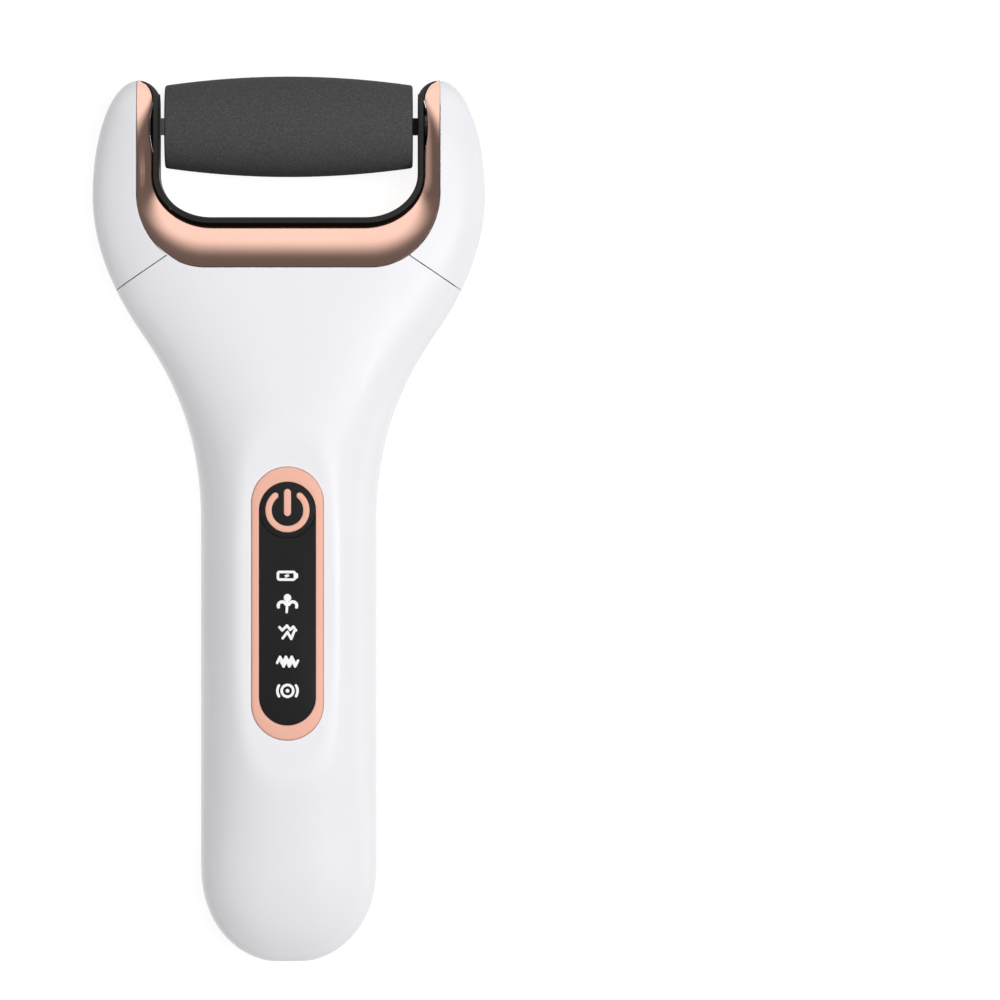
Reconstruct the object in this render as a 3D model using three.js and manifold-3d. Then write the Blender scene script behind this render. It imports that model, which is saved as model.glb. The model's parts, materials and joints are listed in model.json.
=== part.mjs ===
// Electric callus remover: a hand-held, motor-driven file with a lift-out abrasive roller.
// Units are millimetres. The part lies on its back: +Y points to the head, +Z out of the front face.
// "Station" is the distance along the body from the handle's bottom end, before the part is centred.

import * as THREE from 'three';
import { mergeVertices } from 'three/addons/utils/BufferGeometryUtils.js';
import Module from 'manifold-3d';

const wasm = await Module();
wasm.setup();

// ---------------------------------------------------------------- driving dimensions

const handleHalfWidth = 16.7;
const handleCapLength = 19;
const handleBackDrop = 13.6;
const handleCrest = 29;
const handleEndCrest = 22.5;
const bottomFlat = 0.4;
const neckStart = 84;
const neckMiddle = 118.7;
const neckFlare = 9.9;
const partingHeight = 13;
const shellWall = 1.6;
const seamGap = 0.2;

const dish = { centre: 68.25, halfLength: 34.55, floor: 27 };

// The drive: motor, spur gears and the plates that carry them.
const motor = {
  station: 113.3, start: -9.5, end: 15.5, radius: 10, flat: 7.5, wall: 0.8, bell: 3, shaftRadius: 1, boss: 3,
};
const gearModule = 0.5;
const teeth = {
  pinion: 10, firstWheel: 28, firstPinion: 12, secondWheel: 24, secondPinion: 12, transfer: 20, output: 16,
};
const toothAddendum = 0.9;
const toothDedendum = 1.2;
const arborRadius = 0.8;
const spindleRadius = 1.2;
const runningClearance = 0.06;
const gearHeadroom = 1.55;
const pocketClearance = 0.25;

// Gear stations follow from the tooth numbers, counted up from the motor.
const tipRadius = (count) => gearModule * (count / 2 + toothAddendum);
const pairDistance = (a, b) => gearModule * (a + b) / 2;
const firstStation = motor.station + pairDistance(teeth.pinion, teeth.firstWheel);
const secondStation = firstStation + pairDistance(teeth.firstPinion, teeth.secondWheel);
const lowerTransfer = secondStation + pairDistance(teeth.secondPinion, teeth.transfer);
const upperTransfer = lowerTransfer + pairDistance(teeth.transfer, teeth.transfer);
const rollerStation = upperTransfer + pairDistance(teeth.transfer, teeth.output);

const roller = { halfLength: 23.5, middleRadius: 9.56, endRadius: 7.86, bore: 6, edge: 0.5 };
const rollerEndGap = 1;
const armWidth = 4.2;
const headShoulder = 8.6;

// The cradle stands round the roller, and the head round the cradle; the heights leave room for the gears.
const cradle = {
  outerHalfWidth: roller.halfLength + rollerEndGap + armWidth, outerBase: rollerStation - 26.8,
  outerCornerX: 13.1, outerCornerY: 14.3,
  innerHalfWidth: roller.halfLength + rollerEndGap, innerBase: rollerStation - 17.4,
  innerCornerX: 10, innerCornerY: 8.3,
  tipRound: 3.9, wall: 1.1, linerThickness: 1, gap: 0.12,
};
const headHalfWidth = cradle.outerHalfWidth + headShoulder;
const neckMiddleHalfWidth = headHalfWidth - neckFlare;
const headWidest = rollerStation - 13.2;
const headDepth = tipRadius(teeth.firstWheel) + gearHeadroom;
const earTip = rollerStation + 8.7;
const earRise = rollerStation - 8.8;
const earFall = 18.5;
const earPower = 3;

const hub = { depth: 1.9, radius: 6.5, height: 5.6, gap: 0.05 };
const fork = {
  radius: 4, clearance: 0.3, start: cradle.innerHalfWidth + 0.5, base: cradle.innerHalfWidth + 2.5, wall: 0.8,
};
const forkBack = fork.base + fork.wall;
const tang = { side: 3.2, reach: fork.base - 0.25 };
const slotClearance = 0.15;

const gearWidth = 2;
const firstWheelX = [17.2, 17.2 + gearWidth];
const secondWheelX = [22, 22 + gearWidth];
const earGearX = [forkBack + 0.2, forkBack + 0.2 + gearWidth];
const innerPlate = { start: 15.8, thickness: 1.2 };
const middlePlate = { start: cradle.innerHalfWidth + 0.4, thickness: 1 };
const outerPlate = { start: earGearX[1] + 0.4, thickness: 0.8 };
const arborFoot = cradle.innerHalfWidth + 1.5;

const panel = { low: 45.4, high: 91.3, halfWidth: 5.33, top: 27.2, thickness: 1.4 };
const bezel = { width: 1.47, endWidth: 2.85, top: 27.4, thickness: 2.0 };
const panelGap = 0.06;
const button = { travel: 0.4, gap: 0.1, rim: 0.06, top: 27.26 };
const board = { low: 41, high: 96, halfWidth: 7, bottom: 21.4, thickness: 1.2 };
const cell = { low: 24, length: 65, radius: 9.2, height: 11.1 };
const chargeBoard = { low: 4.5, high: 15.5, halfWidth: 6.5, bottom: 10.7, thickness: 1 };
const usb = { halfWidth: 3.75, height: 2.6, front: 0.8, back: 6, wall: 0.35, mouthGap: 0.35 };
const screw = { headRadius: 2.3, headHeight: 1.6, shankRadius: 0.95, length: 11, seat: 3.6 };
const neckScrews = [[-9, 94.5], [9, 94.5]];
const headScrews = [[-10, cradle.outerBase - 5], [10, cradle.outerBase - 5]];
const screwPlaces = [[0, 19.3], ...neckScrews, ...headScrews];
const indicatorStations = [73.6, 68.3, 62.9, 57.3, 51.9];

const topStation = rollerStation + roller.middleRadius;
const buttonStation = panel.high - panel.halfWidth;

// ---------------------------------------------------------------- materials

const finish = (color, roughness, metalness = 0) =>
  new THREE.MeshStandardMaterial({ color, roughness, metalness });
const whiteGloss = () => finish('#eeeef2', 0.25);
const roseGold = () => finish('#c98f78', 0.2, 1);
const peachSatin = () => finish('#f3b7a0', 0.45, 0.3);
const blackGloss = () => finish('#1f2020', 0.15);
const blackPlastic = () => finish('#232220', 0.4);
const grit = () => finish('#4a4a4a', 0.95);
const greyPlastic = () => finish('#5a5c60', 0.5);
const naturalPlastic = () => finish('#e6e0d2', 0.5);
const steel = () => finish('#b9bbbe', 0.3, 1);
const darkSteel = () => finish('#5c5d60', 0.4, 0.8);
const boardGreen = () => finish('#1f5b3a', 0.5);
const ledWhite = () => finish('#f6f2da', 0.3);
const cellBlue = () => finish('#3c6ea5', 0.35);
const nickel = () => finish('#c9c6bd', 0.3, 1);
const redWire = () => finish('#b3261e', 0.5);
const blackWire = () => finish('#1b1b1b', 0.5);

// ---------------------------------------------------------------- solids and booleans

function solid(source) {
  const bare = source.index ? source.toNonIndexed() : source.clone();
  bare.deleteAttribute('normal');
  bare.deleteAttribute('uv');
  const merged = mergeVertices(bare, 1e-5);
  return new wasm.Manifold(new wasm.Mesh({
    numProp: 3,
    vertProperties: new Float32Array(merged.attributes.position.array),
    triVerts: new Uint32Array(merged.index.array),
  }));
}

function geometryOf(manifold) {
  const { vertProperties, triVerts } = manifold.getMesh();
  const geometry = new THREE.BufferGeometry();
  geometry.setAttribute('position', new THREE.BufferAttribute(new Float32Array(vertProperties), 3));
  geometry.setIndex(new THREE.BufferAttribute(new Uint32Array(triVerts), 1));
  geometry.computeVertexNormals();
  return geometry;
}

function piece(group, name, manifold, material) {
  const mesh = new THREE.Mesh(geometryOf(manifold), material);
  mesh.name = name;
  group.add(mesh);
  return mesh;
}

function box([x0, x1], [y0, y1], [z0, z1]) {
  const geometry = new THREE.BoxGeometry(x1 - x0, y1 - y0, z1 - z0);
  return solid(geometry.translate((x0 + x1) / 2, (y0 + y1) / 2, (z0 + z1) / 2));
}

// A round bar along X, from x0 to x1, about the line y, z.
function barX(radius, [x0, x1], y, z, sides = 20) {
  const geometry = new THREE.CylinderGeometry(radius, radius, x1 - x0, sides);
  return solid(geometry.rotateZ(-Math.PI / 2).translate((x0 + x1) / 2, y, z));
}

// A round bar along Z, from z0 to z1, about the line x, y.
function barZ(radius, x, y, [z0, z1], sides = 20) {
  const geometry = new THREE.CylinderGeometry(radius, radius, z1 - z0, sides);
  return solid(geometry.rotateX(Math.PI / 2).translate(x, y, (z0 + z1) / 2));
}

function barY(radius, x, [y0, y1], z, sides = 28) {
  const geometry = new THREE.CylinderGeometry(radius, radius, y1 - y0, sides);
  return solid(geometry.translate(x, (y0 + y1) / 2, z));
}

// A flat plate from an outline in the X-Y plane.
function plateZ(shape, [z0, z1], curveSegments = 10) {
  const geometry = new THREE.ExtrudeGeometry(shape, { depth: z1 - z0, bevelEnabled: false, curveSegments });
  return solid(geometry.translate(0, 0, z0));
}

// A flat plate from an outline in the Y-Z plane, drawn as (y, z).
function plateX(shape, [x0, x1], curveSegments = 6) {
  const geometry = new THREE.ExtrudeGeometry(shape, { depth: x1 - x0, bevelEnabled: false, curveSegments });
  const turn = new THREE.Matrix4().makeBasis(
    new THREE.Vector3(0, 1, 0), new THREE.Vector3(0, 0, 1), new THREE.Vector3(1, 0, 0));
  return solid(geometry.applyMatrix4(turn).translate(x0, 0, 0));
}

function stadium(low, high, radius) {
  const shape = new THREE.Shape();
  shape.absarc(low + radius, partingHeight, radius, Math.PI / 2, Math.PI * 1.5);
  shape.absarc(high - radius, partingHeight, radius, -Math.PI / 2, Math.PI / 2);
  return shape;
}

// A stadium in plan, its long side along Y.
function oval(low, high, radius) {
  const shape = new THREE.Shape();
  shape.absarc(0, high - radius, radius, 0, Math.PI);
  shape.absarc(0, low + radius, radius, Math.PI, Math.PI * 2);
  return shape;
}

// Joins rings of equal length into one closed skin with a fan at each end.
// The rings run clockwise, seen from the end towards the start.
function loft(rings, startCentre, endCentre) {
  const count = rings[0].length;
  const positions = [startCentre, ...rings.flat(), endCentre].flatMap((p) => [p.x, p.y, p.z]);
  const last = rings.length * count + 1;
  const at = (ring, i) => 1 + ring * count + (i % count);
  const faces = [];
  for (let i = 0; i < count; i += 1) {
    faces.push(0, at(0, i + 1), at(0, i));
    for (let ring = 0; ring < rings.length - 1; ring += 1) {
      faces.push(at(ring, i), at(ring, i + 1), at(ring + 1, i + 1));
      faces.push(at(ring, i), at(ring + 1, i + 1), at(ring + 1, i));
    }
    faces.push(last, at(rings.length - 1, i), at(rings.length - 1, i + 1));
  }
  const geometry = new THREE.BufferGeometry();
  geometry.setAttribute('position', new THREE.Float32BufferAttribute(positions, 3));
  geometry.setIndex(faces);
  return solid(geometry);
}

// ---------------------------------------------------------------- body form

function hermite(t, from, to, slopeFrom, slopeTo, span) {
  const t2 = t * t;
  const t3 = t2 * t;
  return (2 * t3 - 3 * t2 + 1) * from + (3 * t2 - 2 * t3) * to
    + span * ((t3 - 2 * t2 + t) * slopeFrom + (t3 - t2) * slopeTo);
}

const between = (s, [s0, v0, m0], [s1, v1, m1]) => hermite((s - s0) / (s1 - s0), v0, v1, m0, m1, s1 - s0);
function quarter(t, power = 2) {
  return Math.pow(Math.max(0, 1 - Math.pow(Math.min(1, Math.abs(t)), power)), 1 / power);
}
const capPower = 2.2;
const neckSlope = 0.7;
const crestSlope = 0.2026;
const headPlan = {
  backTurn: 112, squareFrom: 95, squareTo: headWidest - 0.6, sidePower: 2.35, squarer: 1.25,
};

// Share of the full section left at a station inside the handle's rounded bottom end.
const capShare = (s, inset) => quarter((handleCapLength - s) / (handleCapLength - inset), capPower);

function halfWidth(s, inset = 0) {
  if (s <= handleCapLength) return (handleHalfWidth - inset) * capShare(s, inset);
  if (s <= neckStart) return handleHalfWidth - inset;
  if (s <= neckMiddle) {
    return between(s, [neckStart, handleHalfWidth, 0], [neckMiddle, neckMiddleHalfWidth, neckSlope]) - inset;
  }
  if (s <= headWidest) {
    return between(s, [neckMiddle, neckMiddleHalfWidth, neckSlope], [headWidest, headHalfWidth, 0]) - inset;
  }
  const shoulder = headHalfWidth - cradle.outerHalfWidth;
  return cradle.outerHalfWidth + shoulder * quarter((s - headWidest) / (earTip - headWidest)) - inset;
}

function crestHeight(s) {
  const dishLow = dish.centre - dish.halfLength;
  const dishHigh = dish.centre + dish.halfLength;
  if (s < dishLow) return between(s, [0, handleEndCrest, 0.1], [dishLow, dish.floor, crestSlope]);
  if (s <= dishHigh) {
    const rise = Math.pow(Math.abs(s - dish.centre) / dish.halfLength, 3.5);
    return handleCrest - (handleCrest - dish.floor) * rise;
  }
  return between(s, [dishHigh, dish.floor, -crestSlope], [earRise, partingHeight + headDepth, 0]);
}

function backDrop(s) {
  if (s < headPlan.backTurn) return handleBackDrop;
  return between(s, [headPlan.backTurn, handleBackDrop, 0], [earRise, headDepth, 0]);
}

// Height of the front (+1) or back (-1) skin above the parting plane, on the centreline.
function halfHeight(s, side, inset = 0) {
  const full = side > 0 ? crestHeight(Math.min(s, earRise)) - partingHeight : backDrop(Math.min(s, earRise));
  const cap = s < handleCapLength ? capShare(s, inset) : 1;
  const ear = s > earRise ? quarter((s - earRise) / earFall, earPower) : 1;
  return (full - inset) * cap * ear;
}

function sectionPower(s) {
  const { squareFrom, squareTo, sidePower, squarer } = headPlan;
  return sidePower + squarer * THREE.MathUtils.smoothstep(s, squareFrom, squareTo);
}

// Distance of the skin from the parting plane at any point of the plan.
function skinHeight(x, s, side) {
  return halfHeight(s, side) * quarter(x / halfWidth(s), sectionPower(s));
}

function bodyStations(inset) {
  const stations = [];
  const capSteps = 4;
  for (let i = 1; i <= capSteps; i += 1) {
    const angle = (i / capSteps) * Math.PI / 2;
    stations.push(inset + (handleCapLength - inset) * (1 - Math.cos(angle)));
  }
  for (let s = 33; s < 90; s += 14) stations.push(s);
  for (let s = 94; s < earRise - 2; s += 6.6) stations.push(s);
  const reach = earTip - inset - earRise;
  const tipSteps = 5;
  for (let i = 0; i <= tipSteps; i += 1) {
    stations.push(earRise + reach * Math.sin((i / tipSteps) * Math.PI / 2));
  }
  return stations;
}

function bodyRing(s, inset) {
  const ring = [];
  const sides = 28;
  const power = 2 / sectionPower(s);
  const width = halfWidth(s, inset);
  for (let i = 0; i < sides; i += 1) {
    const angle = (i / sides) * Math.PI * 2;
    const c = Math.cos(angle);
    const d = Math.sin(angle);
    const side = d >= 0 ? 1 : -1;
    const x = width * Math.sign(c) * Math.pow(Math.abs(c), power);
    const z = partingHeight + side * halfHeight(s, side, inset) * Math.pow(Math.abs(d), power);
    ring.push(new THREE.Vector3(x, s, z));
  }
  return ring.reverse();
}

// The whole outer form, or the hollow inside it when an inset is given.
function bodyForm(inset) {
  const rings = bodyStations(inset).map((s) => bodyRing(s, inset));
  const start = new THREE.Vector3(0, inset, partingHeight);
  const end = new THREE.Vector3(0, earTip - inset, partingHeight);
  const land = box([-50, 50], [-10, 200], [-20, inset]);
  const flat = box([-50, 50], [-10, bottomFlat + inset], [-20, 60]);
  const dishSpan = [dish.centre - dish.halfLength, dish.centre + dish.halfLength];
  const facet = box([-20, 20], dishSpan, [dish.floor - inset, 40]);
  return loft(rings, start, end).subtract(land).subtract(facet).subtract(flat);
}

// ---------------------------------------------------------------- cradle form

// Plan outline of the U, from the left arm's tip round to the right arm's tip.
function cradlePath(outer, inset) {
  const half = outer ? cradle.outerHalfWidth : cradle.innerHalfWidth + inset;
  const base = outer ? cradle.outerBase : cradle.innerBase - inset;
  const cornerX = outer ? cradle.outerCornerX : cradle.innerCornerX + inset;
  const cornerY = outer ? cradle.outerCornerY : cradle.innerCornerY + inset;
  const tipWidth = cradle.outerHalfWidth - half;
  const tipStart = earTip - cradle.tipRound;
  const right = [];
  const tipSteps = 3;
  for (let i = 0; i <= tipSteps; i += 1) {
    const angle = THREE.MathUtils.degToRad(78) * (1 - i / tipSteps);
    right.push([half + tipWidth * (1 - Math.cos(angle)), tipStart + cradle.tipRound * Math.sin(angle)]);
  }
  const armEnd = base + cornerY;
  for (let i = 1; i <= 2; i += 1) right.push([half, tipStart + (armEnd - tipStart) * (i / 2)]);
  const cornerSteps = 6;
  for (let i = 1; i <= cornerSteps; i += 1) {
    const angle = (i / cornerSteps) * Math.PI / 2;
    right.push([half - cornerX * (1 - Math.cos(angle)), armEnd - cornerY * Math.sin(angle)]);
  }
  const left = right.map(([x, y]) => [-x, y]);
  return [...left, ...right.reverse()];
}

// Share of its half height that the trim's rounded face falls from its outer edge to its inner edge.
const dropShare = 0.2;
const trimTurn = THREE.MathUtils.degToRad(58);

function cradleRing(outerPoint, innerPoint, shrink) {
  const [ox, oy] = outerPoint;
  const [ix, iy] = innerPoint;
  const ring = [];
  const steps = 4;
  for (const side of [1, -1]) {
    const top = skinHeight(ox, Math.min(oy, earTip - 0.4), side) - shrink;
      const drop = top * dropShare;
    for (let i = 0; i <= steps; i += 1) {
      const angle = ((side > 0 ? i : steps - i) / steps) * trimTurn;
      const share = Math.sin(angle) / Math.sin(trimTurn);
      const fall = (1 - Math.cos(angle)) / (1 - Math.cos(trimTurn));
      const z = partingHeight + side * (top - drop * fall);
      ring.push(new THREE.Vector3(ox + (ix - ox) * share, oy + (iy - oy) * share, z));
    }
  }
  return ring;
}

const middleOf = (ring) => ring.reduce((sum, p) => sum.add(p), new THREE.Vector3()).divideScalar(ring.length);

function cradleSweep(outerPath, innerPath, shrink) {
  const rings = outerPath.map((p, i) => cradleRing(p, innerPath[i], shrink).reverse());
  return loft(rings, middleOf(rings[0]), middleOf(rings[rings.length - 1]));
}

function planShape(points) {
  return new THREE.Shape(points.map(([x, y]) => new THREE.Vector2(x, y)));
}

// A tall prism of the U's outer outline, open past the arm tips.
function cradleWindow(gap) {
  const grow = cradle.outerHalfWidth + gap;
  const scale = grow / cradle.outerHalfWidth;
  const path = cradlePath(true, 0).map(([x, y]) => [x * scale, y - gap]);
  const points = [[-grow, 190], ...path, [grow, 190]];
  return plateZ(planShape(points), [-20, 60]);
}

// ---------------------------------------------------------------- gears

// One toothed wheel about X with straight-flanked teeth; a tooth's middle stands at angle "phase".
function wheel(count, [x0, x1], phase, boreRadius = arborRadius + runningClearance) {
  const pitch = gearModule * count / 2;
  const tip = tipRadius(count);
  const root = pitch - toothDedendum * gearModule;
  const toothAngle = (Math.PI * 2) / count;
  const points = [];
  for (let i = 0; i < count; i += 1) {
    const middle = phase + i * toothAngle;
    for (const [radius, share] of [[root, -0.33], [tip, -0.12], [tip, 0.12], [root, 0.33]]) {
      const angle = middle + share * toothAngle;
      points.push(new THREE.Vector2(radius * Math.cos(angle), radius * Math.sin(angle)));
    }
  }
  const shape = new THREE.Shape(points);
  const bore = new THREE.Path();
  bore.absarc(0, 0, boreRadius, 0, Math.PI * 2, true);
  shape.holes.push(bore);
  return plateX(shape, [x0, x1], 8);
}

function tube(outer, inner, [x0, x1], sides = 16) {
  return barX(outer, [x0, x1], 0, 0, sides).subtract(barX(inner, [x0 - 1, x1 + 1], 0, 0, sides));
}

// Tooth phase of a follower that meshes with a driver further down the body.
function meshPhase(driverPhase, driverTeeth, followerTeeth) {
  const driverShare = (0 - driverPhase) * driverTeeth / (Math.PI * 2);
  const followerShare = 0.5 - driverShare;
  return Math.PI - followerShare * (Math.PI * 2) / followerTeeth;
}

// ---------------------------------------------------------------- casing

function buildCasing() {
  const group = new THREE.Group();
  const shellSolid = bodyForm(0).subtract(bodyForm(shellWall)).subtract(cradleWindow(cradle.gap));

  // Seams run from the U's lower corners out and down to the sides.
  const seamTop = cradle.outerBase + 2;
  const seamEdge = cradle.outerHalfWidth - 5.4;
  const seamFall = 6.2 / 9.2;
  const seamAt = (x) => seamTop - (x - seamEdge) * seamFall;
  const earBlock = (side, shift) => plateZ(planShape([
    [side * 12, seamAt(12) + shift], [side * 60, seamAt(60) + shift], [side * 60, 190], [side * 12, 190],
  ]), [-20, 60]);

  for (const [name, side] of [['left_ear_cover', -1], ['right_ear_cover', 1]]) {
    piece(group, name, shellSolid.intersect(earBlock(side, seamGap / 2)), whiteGloss());
  }

  const ears = earBlock(-1, -seamGap / 2).add(earBlock(1, -seamGap / 2));
  const lowerShell = shellSolid.subtract(ears).subtract(box([-60, 60], [earRise, 200], [-20, 60]));
  const usbMouth = box(
    [-usb.halfWidth - usb.mouthGap, usb.halfWidth + usb.mouthGap], [-2, shellWall + 3],
    [partingHeight - usb.height / 2 - usb.mouthGap, partingHeight + usb.height / 2 + usb.mouthGap]);
  const frontHalf = box([-60, 60], [-10, 200], [partingHeight + seamGap / 2, 60]);
  const rearHalf = box([-60, 60], [-10, 200], [-20, partingHeight - seamGap / 2]);

  const windowHalf = panel.halfWidth + bezel.width + panelGap;
  const windowReach = bezel.endWidth + panelGap;
  const panelWindow = plateZ(oval(panel.low - windowReach, panel.high + windowReach, windowHalf), [20, 40]);

  let front = lowerShell.intersect(frontHalf);
  let rear = lowerShell.intersect(rearHalf);
  const frontForm = bodyForm(0.3);
  const headSeat = screw.seat + screw.headHeight;
  for (const [x, y] of screwPlaces) {
    front = front.add(barZ(2.4, x, y, [partingHeight + 1, 40], 12).intersect(frontForm));
    front = front.subtract(barZ(screw.shankRadius + 0.1, x, y, [0, screw.seat + screw.length + 1.5], 12));
    rear = rear.add(barZ(3.5, x, y, [0.2, partingHeight - 0.5], 16).intersect(frontForm));
    rear = rear.subtract(barZ(screw.headRadius + 0.3, x, y, [-5, headSeat], 16));
    rear = rear.subtract(barZ(screw.shankRadius + 0.3, x, y, [-5, 30], 12));
  }

  // Ribs that carry the motor and the cell.
  const motorRibTop = partingHeight - motor.flat - 0.3;
  const motorRibSpan = [motor.station - 7.3, motor.station + 6.7];
  for (const x of [-5, 9]) {
    rear = rear.add(box([x - 0.6, x + 0.6], motorRibSpan, [0.4, motorRibTop]).intersect(frontForm));
  }
  const cellHollow = barY(cell.radius + 0.3, 0, [cell.low - 4, cell.low + cell.length + 6], cell.height);
  for (const y of [cell.low + 12, cell.low + cell.length - 12]) {
    const rib = box([-13, 13], [y - 0.6, y + 0.6], [0.4, 8]).intersect(frontForm).subtract(cellHollow);
    rear = rear.add(rib);
  }

  // The wall draws back wherever the largest wheel would come nearer than its clearance.
  const reliefRadius = tipRadius(teeth.firstWheel) + pocketClearance;
  const reliefSpan = [firstWheelX[0] - pocketClearance, firstWheelX[1] + pocketClearance];
  const relief = barX(reliefRadius, reliefSpan, firstStation, partingHeight, 48);
  const cuts = usbMouth.add(relief);
  piece(group, 'front_shell', front.subtract(panelWindow).subtract(cuts), whiteGloss());
  piece(group, 'rear_shell', rear.subtract(cuts), whiteGloss());
  return group;
}

// ---------------------------------------------------------------- cradle

function buildCradle() {
  const group = new THREE.Group();
  const liner = cradle.linerThickness;
  const outerPath = cradlePath(true, 0);
  const trimInner = cradlePath(false, liner + cradle.gap);
  const hollowInner = cradlePath(false, liner + cradle.gap + cradle.wall);
  const hollowOuter = cradlePath(true, 0).map(([x, y]) => [x * 1.06, y - 2]);
  const slotHalf = tang.side / 2 + slotClearance;
  const slotStart = rollerStation - slotHalf;

  // The square stub drops into a slot that runs out through the arm's tip.
  const slotMouth = cradle.innerHalfWidth - 0.5;
  const slot = (side) => box(
    side > 0 ? [slotMouth, fork.base] : [-fork.base, -slotMouth], [slotStart, 190],
    [partingHeight - slotHalf, partingHeight + slotHalf]);
  const forkSpan = [slotMouth, forkBack + 0.1];
  const forkHole = barX(fork.radius + fork.clearance, forkSpan, rollerStation, partingHeight, 24);
  const slots = slot(1).add(slot(-1)).add(forkHole);

  // Round hub bosses bulge into the arms from their inner faces; the trim draws back round them.
  const bossCut = (side) => {
    const shape = new THREE.Shape();
    shape.absellipse(side * cradle.innerHalfWidth, rollerStation, hub.depth + hub.gap, hub.radius + hub.gap,
      0, Math.PI * 2);
    return plateZ(shape, [-20, 60], 10);
  };

  const hollow = cradleSweep(hollowOuter, hollowInner, cradle.wall);
  const arborSpan = [arborFoot - 0.1, 40];
  const upperArbor = barX(arborRadius + runningClearance, arborSpan, upperTransfer, partingHeight, 16);
  const pocket = (count, station) =>
    barX(tipRadius(count) + pocketClearance, [earGearX[0] - 0.1, 40], station, partingHeight, 32);
  const trim = cradleSweep(outerPath, trimInner, 0)
    .subtract(hollow).subtract(bossCut(1)).subtract(bossCut(-1)).subtract(slots).subtract(upperArbor)
    .subtract(pocket(teeth.transfer, upperTransfer)).subtract(pocket(teeth.output, rollerStation));
  piece(group, 'cradle_trim', trim, roseGold());

  const innerPath = cradlePath(false, 0);
  const linerOuter = cradlePath(false, liner);
  const rings = innerPath.map(([x, y], i) => {
    const [ox, oy] = linerOuter[i];
    const top = skinHeight(outerPath[i][0], Math.min(outerPath[i][1], earTip - 0.4), -1);
    const reach = top * (1 - dropShare) + 0.3;
    return [[ox, oy, -1], [x, y, -1], [x, y, 1], [ox, oy, 1]]
      .map(([px, py, side]) => new THREE.Vector3(px, py, partingHeight + side * reach));
  });
  let linerSolid = loft(rings, middleOf(rings[0]), middleOf(rings[rings.length - 1]));
  const armSpace = box([-cradle.innerHalfWidth, cradle.innerHalfWidth], [100, 200], [-20, 60]);
  for (const side of [-1, 1]) {
    const ball = new THREE.SphereGeometry(1, 16, 10);
    ball.scale(hub.depth, hub.radius, hub.height)
      .translate(side * cradle.innerHalfWidth, rollerStation, partingHeight);
    linerSolid = linerSolid.add(solid(ball).subtract(armSpace));
  }
  piece(group, 'cradle_liner', linerSolid.subtract(slots), blackPlastic());

  // A leaf of spring steel beside the left slot holds the idler stub down.
  const leaf = new THREE.Shape([
    [-6.8, -0.3], [-0.8, -0.3], [1.6, -1.1], [3.6, -0.1], [3.6, 0.3], [1.6, -0.7], [-0.8, 0.1], [-6.8, 0.1],
  ].map(([x, y]) => new THREE.Vector2(x, y)));
  piece(group, 'retaining_clip', plateZ(leaf, [-1.2, 1.2]), steel())
    .applyMatrix4(new THREE.Matrix4().makeBasis(
      new THREE.Vector3(0, 1, 0), new THREE.Vector3(-1, 0, 0), new THREE.Vector3(0, 0, 1))
      .setPosition(0.3 - cradle.outerHalfWidth, rollerStation, partingHeight));
  return group;
}

// ---------------------------------------------------------------- roller cartridge

function lathed(profile, sides) {
  const points = profile.map(([radius, x]) => new THREE.Vector2(radius, x));
  return solid(new THREE.LatheGeometry([...points, points[0]], sides).rotateZ(-Math.PI / 2));
}

function buildRoller() {
  const group = new THREE.Group();
  group.position.set(0, rollerStation, partingHeight);
  const { halfLength, middleRadius, endRadius, bore, edge } = roller;

  // The barrel bulges towards its middle and has small rounded edges.
  const profile = [[bore, -halfLength], [endRadius - edge, -halfLength]];
  const steps = 8;
  for (let i = 0; i <= steps; i += 1) {
    const x = (halfLength - edge) * (2 * i / steps - 1);
    const bulge = 1 - (x / halfLength) ** 2;
    profile.push([endRadius + (middleRadius - endRadius) * bulge, x]);
  }
  profile.push([endRadius - edge, halfLength], [bore, halfLength]);
  piece(group, 'roller_sleeve', lathed(profile, 28), grit());

  const coreEnd = halfLength - 1.6;
  const coreRadius = bore - 0.05;
  piece(group, 'roller_core', tube(coreRadius, 3.1, [-coreEnd, coreEnd], 20), greyPlastic());

  const half = tang.side / 2;
  const square = (x) => box(x, [-half, half], [-half, half]);
  const capStart = coreEnd + 0.1;
  const drive = barX(coreRadius, [capStart, halfLength - 0.1], 0, 0, 20)
    .add(barX(3, [12, capStart + 0.5], 0, 0, 12)).add(square([halfLength - 0.5, tang.reach]));
  piece(group, 'drive_cap', drive, blackPlastic());

  const axleRadius = 1.5;
  const bush = tube(coreRadius, axleRadius + runningClearance, [-halfLength + 0.1, -capStart], 20)
    .add(tube(3, axleRadius + runningClearance, [-capStart - 0.5, -12], 20));
  piece(group, 'idler_bush', bush, naturalPlastic());
  const axle = barX(axleRadius, [-halfLength - 0.3, -13], 0, 0, 20)
    .add(square([-tang.reach, -halfLength - 0.1]));
  piece(group, 'idler_axle', axle, steel());
  return group;
}

// ---------------------------------------------------------------- drive

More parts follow.
